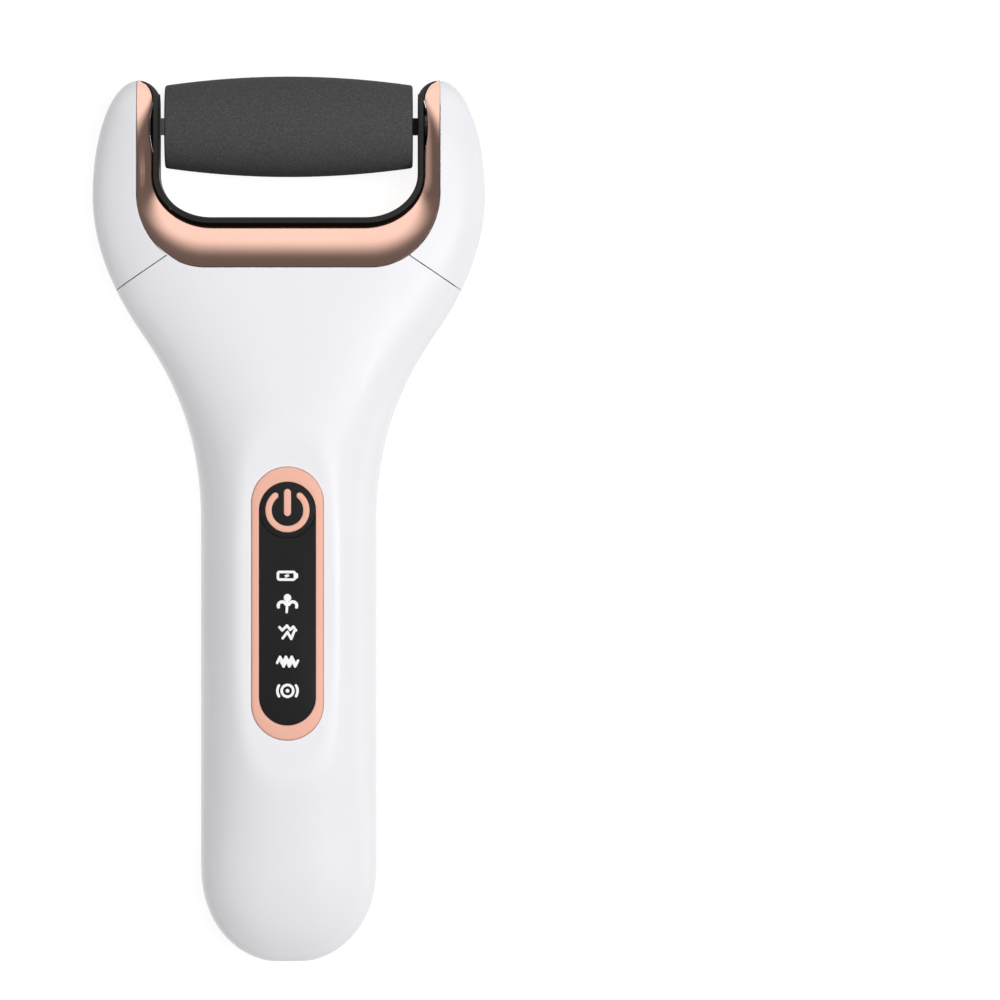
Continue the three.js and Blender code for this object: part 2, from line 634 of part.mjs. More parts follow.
function buildDrive() {
  const group = new THREE.Group();
  const driven = (station) => {
    const at = new THREE.Group();
    at.position.set(0, station, partingHeight);
    group.add(at);
    return at;
  };

  const pinionPhase = 0;
  const firstPhase = meshPhase(pinionPhase, teeth.pinion, teeth.firstWheel);
  const secondPhase = meshPhase(firstPhase, teeth.firstPinion, teeth.secondWheel);
  const lowerPhase = meshPhase(secondPhase, teeth.secondPinion, teeth.transfer);
  const upperPhase = meshPhase(lowerPhase, teeth.transfer, teeth.transfer);
  const outputPhase = meshPhase(upperPhase, teeth.transfer, teeth.output);
  const bore = arborRadius + runningClearance;

  piece(driven(motor.station), 'motor_pinion',
    wheel(teeth.pinion, [firstWheelX[0] - 0.1, firstWheelX[1] + 0.2], pinionPhase,
      motor.shaftRadius + runningClearance),
    steel());
  piece(driven(firstStation), 'compound_gear_a',
    wheel(teeth.firstWheel, firstWheelX, firstPhase)
      .add(wheel(teeth.firstPinion, [firstWheelX[0] + 0.5, secondWheelX[1] + 0.2], firstPhase)),
    naturalPlastic());
  piece(driven(secondStation), 'compound_gear_b',
    wheel(teeth.secondWheel, secondWheelX, secondPhase)
      .add(wheel(teeth.secondPinion, earGearX, secondPhase))
      .add(tube(2.1, bore, [secondWheelX[0] + 0.5, earGearX[0] + 0.5], 16)
        .subtract(barX(bore, [0, 40], 0, 0, 16))),
    naturalPlastic());
  piece(driven(lowerTransfer), 'transfer_gear_1',
    wheel(teeth.transfer, earGearX, lowerPhase), naturalPlastic());
  piece(driven(upperTransfer), 'transfer_gear_2',
    wheel(teeth.transfer, earGearX, upperPhase), naturalPlastic());

  const output = driven(rollerStation);
  piece(output, 'output_gear',
    wheel(teeth.output, earGearX, outputPhase, spindleRadius + runningClearance), naturalPlastic());
  const slotHalf = tang.side / 2 + slotClearance;
  const jaws = barX(fork.radius, [fork.start, forkBack], 0, 0, 24)
    .subtract(box([fork.start - 1, fork.base], [-10, 10], [-slotHalf, slotHalf]))
    .add(barX(spindleRadius, [forkBack - 0.3, outerPlate.start + outerPlate.thickness], 0, 0, 16));
  piece(output, 'drive_fork', jaws, darkSteel());

  const outerEnd = outerPlate.start + outerPlate.thickness;
  const middleEnd = middlePlate.start + middlePlate.thickness;
  const arbors = [
    ['first_arbor', firstStation, innerPlate.start, middleEnd],
    ['second_arbor', secondStation, innerPlate.start, outerEnd],
    ['lower_transfer_arbor', lowerTransfer, middlePlate.start, outerEnd],
    ['upper_transfer_arbor', upperTransfer, arborFoot, outerEnd],
  ];
  for (const [name, station, x0, x1] of arbors) {
    piece(driven(station), name, barX(arborRadius, [x0, x1], 0, 0, 16), steel());
  }

  const drill = (radius, station) => barX(radius, [0, 50], station, partingHeight, 16);
  const plate = ({ start, thickness }, from, to, halfHeight) =>
    plateX(stadium(from, to, halfHeight), [start, start + thickness]);
  const bracket = plate(innerPlate, motor.station - 9.5, secondStation + 2.6, 6.2)
    .subtract(drill(motor.boss + 0.2, motor.station))
    .subtract(drill(bore, firstStation)).subtract(drill(bore, secondStation));
  piece(group, 'motor_bracket', bracket, darkSteel());
  const frame = plate(middlePlate, firstStation - 3, lowerTransfer + 3, 3.1)
    .subtract(drill(bore, firstStation)).subtract(drill(2.4, secondStation))
    .subtract(drill(bore, lowerTransfer));
  piece(group, 'gear_frame', frame, darkSteel());
  const bridge = plate(outerPlate, secondStation - 2.4, rollerStation + 2.6, 2.4)
    .subtract(drill(bore, secondStation)).subtract(drill(bore, lowerTransfer))
    .subtract(drill(bore, upperTransfer)).subtract(drill(spindleRadius + runningClearance, rollerStation));
  piece(group, 'gear_bridge', bridge, darkSteel());
  return group;
}

// ---------------------------------------------------------------- motor

function buildMotor() {
  const group = new THREE.Group();
  group.position.set(0, motor.station, partingHeight);
  const { start, end, radius, flat, wall, bell, shaftRadius } = motor;
  const flattened = (r, half, span) =>
    barX(r, span, 0, 0, 32).intersect(box([-30, 30], [-20, 20], [-half, half]));

  const bellEnd = start + bell;
  const can = flattened(radius, flat, [bellEnd, end])
    .subtract(flattened(radius - wall, flat - wall, [bellEnd - 1, end - wall]))
    .add(barX(motor.boss, [end - wall, end + 1.4], 0, 0, 20))
    .subtract(barX(shaftRadius + runningClearance, [0, 30], 0, 0, 16));
  piece(group, 'motor_can', can, steel());
  const endBell = flattened(radius, flat, [start, bellEnd - 0.1])
    .subtract(barX(shaftRadius + runningClearance, [start - 1, bellEnd + 1], 0, 0, 16));
  piece(group, 'motor_end_bell', endBell, blackPlastic());

  const magnetInner = 6.9;
  for (const [name, side] of [['motor_magnet_upper', 1], ['motor_magnet_lower', -1]]) {
    const arc = new THREE.Shape();
    const spread = THREE.MathUtils.degToRad(38);
    const middle = side > 0 ? 0 : Math.PI;
    arc.absarc(0, 0, radius - wall - 0.1, middle - spread, middle + spread);
    arc.absarc(0, 0, magnetInner, middle + spread, middle - spread, true);
    piece(group, name, plateX(arc, [-2, 11]), darkSteel());
  }

  const poles = new THREE.Shape();
  const poleReach = 6.3;
  for (let i = 0; i < 3; i += 1) {
    const middle = (i * Math.PI * 2) / 3;
    poles.absarc(0, 0, poleReach, middle - 0.85, middle + 0.85);
    const gapAngle = middle + Math.PI / 3;
    poles.lineTo(3 * Math.cos(gapAngle), 3 * Math.sin(gapAngle));
  }
  const shaftHole = new THREE.Path();
  shaftHole.absarc(0, 0, shaftRadius + runningClearance, 0, Math.PI * 2, true);
  poles.holes.push(shaftHole);
  piece(group, 'motor_armature', plateX(poles, [-1, 10]), darkSteel());
  piece(group, 'motor_shaft', barX(shaftRadius, [start + 0.4, firstWheelX[1] + 0.6], 0, 0, 16), steel());
  return group;
}

// ---------------------------------------------------------------- panel and button

function buildPanel() {
  const group = new THREE.Group();
  const { low, high, halfWidth: half, top, thickness } = panel;
  const ringOuter = half + bezel.width;
  const bezelZ = [bezel.top - bezel.thickness, bezel.top];
  const ring = plateZ(oval(low - bezel.endWidth, high + bezel.endWidth, ringOuter), bezelZ)
    .subtract(plateZ(oval(low - panelGap, high + panelGap, half + panelGap), [0, 50]));
  piece(group, 'panel_bezel', ring, peachSatin());

  const keyRadius = half - button.rim;
  const lens = plateZ(oval(low, high, half), [top - thickness, top])
    .subtract(barZ(keyRadius + button.gap, 0, buttonStation, [0, 50], 32))
    .subtract(box([-10, 10], [buttonStation, 120], [0, 50]));
  piece(group, 'panel_lens', lens, blackGloss());

  const boardTop = board.bottom + board.thickness;
  const switchTop = boardTop + 1.8;
  const plungerFoot = switchTop - 0.3;
  const postFoot = switchTop + 1;
  const key = barZ(keyRadius, 0, buttonStation, [top - thickness, button.top], 32)
    .add(barZ(1.5, 0, buttonStation, [postFoot, top - thickness + 0.3], 12));
  piece(group, 'power_button', key, blackGloss());
  piece(group, 'switch_plunger',
    barZ(1.6, 0, buttonStation, [plungerFoot, postFoot - 0.15], 16), blackPlastic());
  const switchBody = box([-3, 3], [buttonStation - 3, buttonStation + 3], [boardTop + 0.1, switchTop])
    .subtract(barZ(1.8, 0, buttonStation, [plungerFoot - button.travel - 0.15, 60], 16));
  piece(group, 'switch_body', switchBody, darkSteel());
  return group;
}

// ---------------------------------------------------------------- electrics

function lead(points, radius) {
  const curve = new THREE.CatmullRomCurve3(points.map((p) => new THREE.Vector3(...p)));
  const shape = new THREE.Shape();
  shape.absarc(0, 0, radius, 0, Math.PI * 2);
  return solid(new THREE.ExtrudeGeometry(shape, { steps: 9, curveSegments: 4, extrudePath: curve }));
}

function buildElectrics() {
  const group = new THREE.Group();
  const boardTop = board.bottom + board.thickness;
  const bossHole = ([x, y]) => barZ(2.9, x, y, [0, 60], 12);
  piece(group, 'main_board',
    box([-board.halfWidth, board.halfWidth], [board.low, board.high], [board.bottom, boardTop])
      .subtract(bossHole(neckScrews[0])).subtract(bossHole(neckScrews[1])),
    boardGreen());
  indicatorStations.forEach((station, i) => {
    piece(group, `led_${i + 1}`,
      box([-1.6, 1.6], [station - 0.8, station + 0.8], [boardTop + 0.1, boardTop + 1]), ledWhite());
  });

  piece(group, 'charge_board',
    box([-chargeBoard.halfWidth, chargeBoard.halfWidth], [chargeBoard.low, chargeBoard.high],
      [chargeBoard.bottom, chargeBoard.bottom + chargeBoard.thickness]),
    boardGreen());
  const usbLow = partingHeight - usb.height / 2;
  const usbHigh = partingHeight + usb.height / 2;
  const { halfWidth: usbHalf, front, back, wall } = usb;
  const socket = box([-usbHalf, usbHalf], [front, back], [usbLow + 0.05, usbHigh])
    .subtract(box([wall - usbHalf, usbHalf - wall], [front - 1, back - 0.6],
      [usbLow + 0.05 + wall, usbHigh - wall]))
    .add(box([-2.2, 2.2], [front + 0.8, back - 0.3], [partingHeight - 0.3, partingHeight + 0.3]));
  piece(group, 'usb_socket', socket, nickel());

  const cellHigh = cell.low + cell.length;
  const capRadius = 3.2;
  piece(group, 'battery_cell',
    barY(cell.radius, 0, [cell.low, cellHigh - 1.6], cell.height, 28)
      .add(barY(capRadius, 0, [cellHigh - 2, cellHigh - 0.2], cell.height, 16)),
    cellBlue());
  const tabTop = cell.height + 8.6;
  piece(group, 'cell_tab_positive',
    box([-3, 3], [cellHigh, cellHigh + 0.4], [cell.height - 3, tabTop]), nickel());
  piece(group, 'cell_tab_negative',
    box([-3, 3], [cell.low - 0.7, cell.low - 0.2], [cell.height - 5, tabTop]), nickel());

  const wire = 0.6;
  const bellFace = motor.start - wire - 0.2;
  piece(group, 'motor_lead_red', lead([
    [-5, 96.3, 22.8], [-6.5, 99.5, 21.9], [-9.2, 103.5, 19.5], [-11.2, 107, 16.5],
    [bellFace - 0.6, 109.5, 14.5],
  ], wire), redWire());
  piece(group, 'motor_lead_black', lead([
    [-2.4, 96.3, 22.8], [-4.2, 100, 22.4], [-9.4, 106, 21.2], [-12, 111.5, 18.8],
    [bellFace - 0.8, 115.5, 15.5],
  ], wire), blackWire());
  piece(group, 'cell_lead_red', lead([
    [4.2, 91, 17.5], [5, 92.5, 18.4], [5.2, 94.2, 19.4], [4.6, 95.5, 20.4],
  ], wire), redWire());
  piece(group, 'cell_lead_black', lead([
    [0, 22.6, 19.5], [0.8, 23, 20.9], [2.4, 26, 22.1], [3, 32, 22.5], [3, 40.3, 22.3],
  ], wire), blackWire());
  return group;
}

// ---------------------------------------------------------------- screws

function buildScrews() {
  const group = new THREE.Group();
  screwPlaces.forEach(([x, y], i) => {
    const head = barZ(screw.headRadius, 0, 0, [0, screw.headHeight], 12)
      .subtract(box([-1.4, 1.4], [-0.3, 0.3], [-1, 0.8])).subtract(box([-0.3, 0.3], [-1.4, 1.4], [-1, 0.8]));
    const shank = barZ(screw.shankRadius, 0, 0, [screw.headHeight - 0.2, screw.length], 8);
    const mesh = piece(group, `case_screw_${i + 1}`, head.add(shank), steel());
    mesh.position.set(x, y, screw.seat - 0.1);
  });
  return group;
}

const device = new THREE.Group();
device.name = 'callus_remover';
device.position.set(0, -(bottomFlat + topStation) / 2, 0);
device.add(buildCasing(), buildCradle(), buildRoller(), buildDrive(), buildMotor());
device.add(buildPanel(), buildElectrics(), buildScrews());

export default device;
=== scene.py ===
"""Electric callus remover: the looks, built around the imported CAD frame.

The device lies on its back. Stations are millimetres along the body from the handle's bottom end,
as in the CAD; everything handed to Blender is in metres.
"""

import json
import math

import bmesh
import bpy
import numpy as np
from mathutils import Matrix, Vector


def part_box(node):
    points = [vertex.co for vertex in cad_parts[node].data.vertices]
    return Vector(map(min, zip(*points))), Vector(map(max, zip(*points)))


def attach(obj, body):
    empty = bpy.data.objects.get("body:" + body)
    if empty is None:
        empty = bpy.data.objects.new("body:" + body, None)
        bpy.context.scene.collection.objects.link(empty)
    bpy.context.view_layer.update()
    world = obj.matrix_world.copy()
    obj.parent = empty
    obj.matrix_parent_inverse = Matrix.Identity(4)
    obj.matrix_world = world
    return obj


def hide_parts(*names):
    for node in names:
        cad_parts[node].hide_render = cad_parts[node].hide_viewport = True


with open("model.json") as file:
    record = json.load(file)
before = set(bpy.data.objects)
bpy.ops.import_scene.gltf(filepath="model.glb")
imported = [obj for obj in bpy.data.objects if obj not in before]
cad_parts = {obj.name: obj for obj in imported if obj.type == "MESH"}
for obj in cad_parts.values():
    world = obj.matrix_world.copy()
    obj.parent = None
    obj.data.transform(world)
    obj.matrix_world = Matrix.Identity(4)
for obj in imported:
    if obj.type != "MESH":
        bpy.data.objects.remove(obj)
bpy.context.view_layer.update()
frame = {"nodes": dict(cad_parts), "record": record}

MM = 0.001

# ------------------------------------------------------------------ driving sizes, in mm

HANDLE_HALF = 16.7
CAP_LENGTH = 19.0
NECK_START = 84.0
NECK_MIDDLE = 118.7
NECK_MIDDLE_HALF = 27.4
NECK_SLOPE = 0.7
HEAD_WIDEST = 145.6
HEAD_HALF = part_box("right_ear_cover")[1].x / MM
EAR_TIP = 167.5
PARTING = 13.0
HANDLE_CREST = 29.0
END_CREST, END_SLOPE = 22.5, 0.1
HEAD_CREST = 22.0
HEAD_BACK = 4.0
BACK_DROP, BACK_RISE = PARTING + 0.6, 112.0
WALL = 1.6
SEAM_GAP = 0.2
DISH_CENTRE, DISH_HALF_LENGTH, DISH_FLOOR, DISH_POWER = 68.25, 34.55, 27.0, 3.5
EAR_RISE, EAR_FALL, EAR_POWER = 150.0, 18.5, 3.0

OUTER = {"half": 28.7, "base": 132.0, "corner_x": 13.1, "corner_y": 14.3}
INNER = {"half": 24.5, "base": 141.4, "corner_x": 10.0, "corner_y": 8.3}
TIP_ROUND = 3.9
LINER = 1.0
TRIM_WALL = 1.1
FIT, SEEN_FIT, RUNNING_GAP = 0.12, 0.02, 0.06
SEAM_TOP, SEAM_FALL = 134.0, 6.2 / 9.2
SCREW_BOSS, SCREW_BORE, SCREW_HOLE, SCREW_SEAT = 3.5, 2.6, 1.25, 5.2
MOUTH_GAP = 0.35
DROP_SHARE = 0.2
TRIM_TURN = math.radians(58)
HUB_DEPTH, HUB_RADIUS, HUB_HEIGHT, HUB_GAP = 1.9, 6.5, 5.6, 0.05

# Blocks that cut the casing reach past it on every side.
CUT_ACROSS, CUT_UP, BEFORE_END, PAST_TIP = (-60, 60), (-20, 60), -10, 190

PANEL_HALF, BEZEL_WIDTH, BEZEL_END, PANEL_GAP, KEY_GAP = 5.33, 1.47, 2.85, 0.06, 0.1
PANEL_LOW, PANEL_HIGH, PANEL_TOP = 45.4, 91.3, 27.2
PANEL_THICK, KEY_RIM, KEY_POST = 1.4, 0.06, 1.5
BEZEL_TOP, BEZEL_THICK = 27.4, 2.0
BUTTON_STATION = PANEL_HIGH - PANEL_HALF
INDICATORS = [73.6, 68.3, 62.9, 57.3, 51.9]

roller_low, roller_high = (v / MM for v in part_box("roller_sleeve"))
ROLLER_MIDDLE = (roller_high.y - roller_low.y) / 2
ROLLER_HALF = roller_high.x
ROLLER_END = 7.86
ROLLER_STATION = 158.8

# The CAD is centred on its length, so stations shift by the same amount here.
SHIFT = (roller_high.y + roller_low.y) / 2 - ROLLER_STATION
BOTTOM_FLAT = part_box("rear_shell")[0].y / MM - SHIFT


# ------------------------------------------------------------------ small maths


def hermite(s, start, end):
    """Cubic between (place, value, slope) triples; s may be an array."""
    s0, v0, m0 = start
    s1, v1, m1 = end
    t = (s - s0) / (s1 - s0)
    t2, t3 = t * t, t * t * t
    blend = 3 * t2 - 2 * t3
    return v0 + (v1 - v0) * blend + (s1 - s0) * ((t3 - 2 * t2 + t) * m0 + (t3 - t2) * m1)


def quarter(t, power=2.0):
    """Quarter of a superellipse: 1 at t = 0, falling to 0 at t = 1."""
    t = np.clip(np.abs(t), 0, 1)
    return np.maximum(0, 1 - t**power) ** (1 / power)


def smoothstep(x, low, high):
    t = np.clip((x - low) / (high - low), 0, 1)
    return t * t * (3 - 2 * t)


def soft_min(a, b, k):
    """The lesser value, blended over k where the two are near."""
    h = np.maximum(k - np.abs(a - b), 0) / k
    return np.minimum(a, b) - h * h * k / 4


def soft_max(a, b, k):
    return -soft_min(-a, -b, k)


# ------------------------------------------------------------------ body form, as in the CAD


def cap_share(s, inset):
    """Share of the full section at the rounded handle end."""
    return quarter(np.clip((CAP_LENGTH - s) / (CAP_LENGTH - inset), 0, 1), 2.2)


def half_width(s, inset=0.0):
    s = np.asarray(s, float)
    neck = hermite(s, (NECK_START, HANDLE_HALF, 0), (NECK_MIDDLE, NECK_MIDDLE_HALF, NECK_SLOPE))
    head = hermite(s, (NECK_MIDDLE, NECK_MIDDLE_HALF, NECK_SLOPE), (HEAD_WIDEST, HEAD_HALF, 0))
    shoulder = HEAD_HALF - OUTER["half"]
    ear = OUTER["half"] + shoulder * quarter((s - HEAD_WIDEST) / (EAR_TIP - HEAD_WIDEST))
    width = np.where(s <= NECK_START, HANDLE_HALF, neck)
    width = np.where(s > NECK_MIDDLE, head, width)
    width = np.where(s > HEAD_WIDEST, ear, width)
    return (width - inset) * np.where(s < CAP_LENGTH, cap_share(s, inset), 1.0)


def crest_height(s):
    low, high = DISH_CENTRE - DISH_HALF_LENGTH, DISH_CENTRE + DISH_HALF_LENGTH
    depth = HANDLE_CREST - DISH_FLOOR
    slope = DISH_POWER * depth / DISH_HALF_LENGTH
    handle = HANDLE_CREST - depth * (np.abs(s - DISH_CENTRE) / DISH_HALF_LENGTH) ** DISH_POWER
    end = hermite(s, (0, END_CREST, END_SLOPE), (low, DISH_FLOOR, slope))
    crest = np.where(s < low, end, handle)
    return np.where(s > high, hermite(s, (high, DISH_FLOOR, -slope), (EAR_RISE, HEAD_CREST, 0)), crest)


def back_drop(s):
    head = hermite(s, (BACK_RISE, BACK_DROP, 0), (EAR_RISE, PARTING - HEAD_BACK, 0))
    return np.where(s < BACK_RISE, BACK_DROP, head)


def half_height(s, side, inset=0.0):
    s = np.asarray(s, float)
    held = np.minimum(s, EAR_RISE)
    full = crest_height(held) - PARTING if side > 0 else back_drop(held)
    cap = np.where(s < CAP_LENGTH, cap_share(s, inset), 1.0)
    ear = np.where(s > EAR_RISE, quarter((s - EAR_RISE) / EAR_FALL, EAR_POWER), 1.0)
    return (full - inset) * cap * ear


def section_power(s):
    """Power of the section's superellipse: round on the handle, squarer towards the head."""
    return 2.35 + 1.25 * smoothstep(np.asarray(s, float), 95, 145)


def skin_height(x, s, side):
    return half_height(s, side) * quarter(x / half_width(s), section_power(s))


# ------------------------------------------------------------------ mesh helpers


def to_scene(points):
    """Millimetre station coordinates to metres in the row frame."""
    points = np.asarray(points, float).reshape(-1, 3).copy()
    points[:, 1] += SHIFT
    return points * MM


def new_object(name, points, faces, smooth_angle=32):
    mesh = bpy.data.meshes.new(name)
    mesh.from_pydata(to_scene(points).tolist(), [], faces)
    mesh.update()
    obj = bpy.data.objects.new(name, mesh)
    bpy.context.scene.collection.objects.link(obj)
    smooth(obj, smooth_angle)
    return obj


def smooth(obj, angle=32):
    mesh = obj.data
    mesh.polygons.foreach_set("use_smooth", [True] * len(mesh.polygons))
    mesh.set_sharp_from_angle(angle=math.radians(angle))
    mesh.update()


def grid_faces(rows, columns, closed=True):
    """Quads between successive rows of points; closed joins each row's last point to its first."""
    faces = []
    last = columns if closed else columns - 1
    for r in range(rows - 1):
        for c in range(last):
            d = (c + 1) % columns
            faces.append((r * columns + c, r * columns + d, (r + 1) * columns + d, (r + 1) * columns + c))
    return faces


def loft(name, rings, smooth_angle=32, poles=True):
    """Closed skin through rings of equal length, with a fan at each end."""
    rings = np.asarray(rings, float)
    rows, columns, _ = rings.shape
    points = rings.reshape(-1, 3)
    faces = grid_faces(rows, columns)
    if poles:
        points = np.vstack([points, rings[0].mean(0), rings[-1].mean(0)])
        first, last, top = rows * columns, rows * columns + 1, (rows - 1) * columns
        for c in range(columns):
            d = (c + 1) % columns
            faces.append((first, d, c))
            faces.append((last, top + c, top + d))
    obj = new_object(name, points, faces, smooth_angle)
    face_outwards(obj)
    return obj


def face_outwards(obj):
    mesh = obj.data
    co = np.array([v.co for v in mesh.vertices])
    mesh.calc_loop_triangles()
    tri = np.array([t.vertices for t in mesh.loop_triangles])
    volume = np.einsum("ij,ij->i", co[tri[:, 0]], np.cross(co[tri[:, 1]], co[tri[:, 2]])).sum()
    if volume < 0:
        mesh.flip_normals()


def prism(name, outline, low, high):
    """Upright prism of a plan outline in station coordinates."""
    outline = np.asarray(outline, float)
    count = len(outline)
    points = [(x, y, z) for z in (low, high) for x, y in outline]
    faces = [tuple(reversed(range(count))), tuple(range(count, 2 * count))]
    faces += [(i, (i + 1) % count, count + (i + 1) % count, count + i) for i in range(count)]
    obj = new_object(name, points, faces)
    face_outwards(obj)
    return obj


def block(name, xs, ys, zs):
    outline = [(xs[0], ys[0]), (xs[1], ys[0]), (xs[1], ys[1]), (xs[0], ys[1])]
    return prism(name, outline, *zs)


def circle(x, y, radius, sides=48, radius_y=None):
    angles = np.linspace(0, 2 * math.pi, sides, endpoint=False)
    return np.column_stack([x + radius * np.cos(angles), y + (radius_y or radius) * np.sin(angles)])


def oval(low, high, radius, steps=32):
    upper = np.linspace(0, math.pi, steps)
    lower = np.linspace(math.pi, 2 * math.pi, steps)
    top = np.column_stack([radius * np.cos(upper), high - radius + radius * np.sin(upper)])
    bottom = np.column_stack([radius * np.cos(lower), low + radius + radius * np.sin(lower)])
    return np.vstack([top, bottom])


def rod_x(name, radius, x0, x1, y, z, sides=48):
    angles = np.linspace(0, 2 * math.pi, sides, endpoint=False)
    rings = [[(x, y + radius * math.cos(a), z + radius * math.sin(a)) for a in angles] for x in (x0, x1)]
    return loft(name, rings)


def boolean(obj, operation, *tools):
    """Cuts or joins in place and removes the tools."""
    for tool in tools:
        modifier = obj.modifiers.new("cut", "BOOLEAN")
        modifier.operation = operation
        modifier.solver = "MANIFOLD"
        modifier.object = tool
        graph = bpy.context.evaluated_depsgraph_get()
        mesh = bpy.data.meshes.new_from_object(obj.evaluated_get(graph))
        obj.modifiers.clear()
        old = obj.data
        obj.data = mesh
        bpy.data.meshes.remove(old)
        bpy.data.objects.remove(tool)
    return obj


def duplicate(obj, name):
    twin = obj.copy()
    twin.data = obj.data.copy()
    twin.name = name
    bpy.context.scene.collection.objects.link(twin)
    return twin


# ------------------------------------------------------------------ materials


class Nodes:
    """Short hand for building one material's node tree."""

    def __init__(self, name):
        self.material = bpy.data.materials.new(name)
        self.material.use_nodes = True
        self.tree = self.material.node_tree
        self.shader = self.tree.nodes["Principled BSDF"]
        self.place = self.add("ShaderNodeTexCoord").outputs["Object"]

    def add(self, kind, **values):
        node = self.tree.nodes.new(kind)
        for key, value in values.items():
            setattr(node, key, value)
        return node

    def link(self, source, target):
        self.tree.links.new(source, target)

    def set(self, **values):
        for key, value in values.items():
            self.shader.inputs[key.replace("_", " ")].default_value = value
        return self

    def noise(self, scale, detail=3.0, roughness=0.55, place=None):
        node = self.add("ShaderNodeTexNoise")
        node.inputs["Scale"].default_value = scale
        node.inputs["Detail"].default_value = detail
        node.inputs["Roughness"].default_value = roughness
        self.link(place or self.place, node.inputs["Vector"])
        return node.outputs["Fac"]

    def ramp(self, source, stops):
        node = self.add("ShaderNodeValToRGB")
        while len(node.color_ramp.elements) < len(stops):
            node.color_ramp.elements.new(0.5)
        for element, (position, colour) in zip(node.color_ramp.elements, stops):
            element.position = position
            element.color = (*colour, 1) if len(colour) == 3 else colour
        self.link(source, node.inputs["Fac"])
        return node.outputs["Color"]

    def levels(self, source, low, high):
        node = self.add("ShaderNodeMapRange")
        node.inputs["To Min"].default_value = low
        node.inputs["To Max"].default_value = high
        self.link(source, node.inputs["Value"])
        return node.outputs["Result"]

    def bump(self, height, strength, distance, normal=None):
        node = self.add("ShaderNodeBump")
        node.inputs["Strength"].default_value = strength
        node.inputs["Distance"].default_value = distance
        self.link(height, node.inputs["Height"])
        if normal is not None:
            self.link(normal, node.inputs["Normal"])
        return node.outputs["Normal"]

    def colour(self, source):
        self.link(source, self.shader.inputs["Base Color"])

    def roughness(self, source):
        self.link(source, self.shader.inputs["Roughness"])

    def normal(self, source):
        self.link(source, self.shader.inputs["Normal"])


def moulded(name, colour, roughness, grain=0.004, spread=0.012, scale=260, edge=0.0, **shader):
    """Injection-moulded plastic: slight tone drift, a roughness drift and a fine skin texture."""
    n = Nodes(name)
    tone = n.noise(30, 3)
    light = tuple(min(1, c * (1 + spread)) for c in colour)
    dark = tuple(c * (1 - spread) for c in colour)
    n.colour(n.ramp(tone, [(0.3, dark), (0.7, light)]))
    n.roughness(n.levels(n.noise(90, 4), roughness * 0.88, roughness * 1.14))
    soft = None
    if edge:
        bevel = n.add("ShaderNodeBevel", samples=6)
        bevel.inputs["Radius"].default_value = edge * MM
        soft = bevel.outputs["Normal"]
    n.normal(n.bump(n.noise(scale * 10, 2), 0.35, grain * MM, soft))
    return n.set(**shader)


def metal(name, colour, roughness, brush=0.0, edge=0.0, grain=0.003):
    n = Nodes(name)
    n.set(Metallic=1.0)
    cloud = n.noise(55, 4)
    n.colour(n.ramp(cloud, [(0.3, tuple(c * 0.96 for c in colour)), (0.7, colour)]))
    n.roughness(n.levels(n.noise(400, 3), roughness * 0.85, roughness * 1.2))
    stretch = n.add("ShaderNodeMapping")
    stretch.inputs["Scale"].default_value = (1, 1 + 12 * brush, 1 + 12 * brush)
    n.link(n.place, stretch.inputs["Vector"])
    soft = None
    if edge:
        bevel = n.add("ShaderNodeBevel", samples=6)
        bevel.inputs["Radius"].default_value = edge * MM
        soft = bevel.outputs["Normal"]
    n.normal(n.bump(n.noise(900, 3, place=stretch.outputs["Vector"]), 0.3, grain * MM, soft))
    return n


def abrasive(name):
    """Mineral grit bonded to the barrel: fine grains, brown-grey specks and a soft sheen."""
    n = Nodes(name)
    grains = n.add("ShaderNodeTexVoronoi", feature="F1")
    grains.inputs["Scale"].default_value = 4200
    n.link(n.place, grains.inputs["Vector"])
    fleck = n.noise(2600, 3, 0.7)
    n.colour(n.ramp(fleck, [(0.30, (0.052, 0.051, 0.050)), (0.52, (0.070, 0.070, 0.070)),
                            (0.70, (0.095, 0.094, 0.093))]))
    n.roughness(n.levels(n.noise(700, 3), 0.72, 0.95))
    coarse = n.bump(n.noise(2000, 4, 0.7), 0.4, 0.03 * MM)
    n.normal(n.bump(grains.outputs["Distance"], 0.5, 0.03 * MM, coarse))
    return n.set(Specular_IOR_Level=0.12)


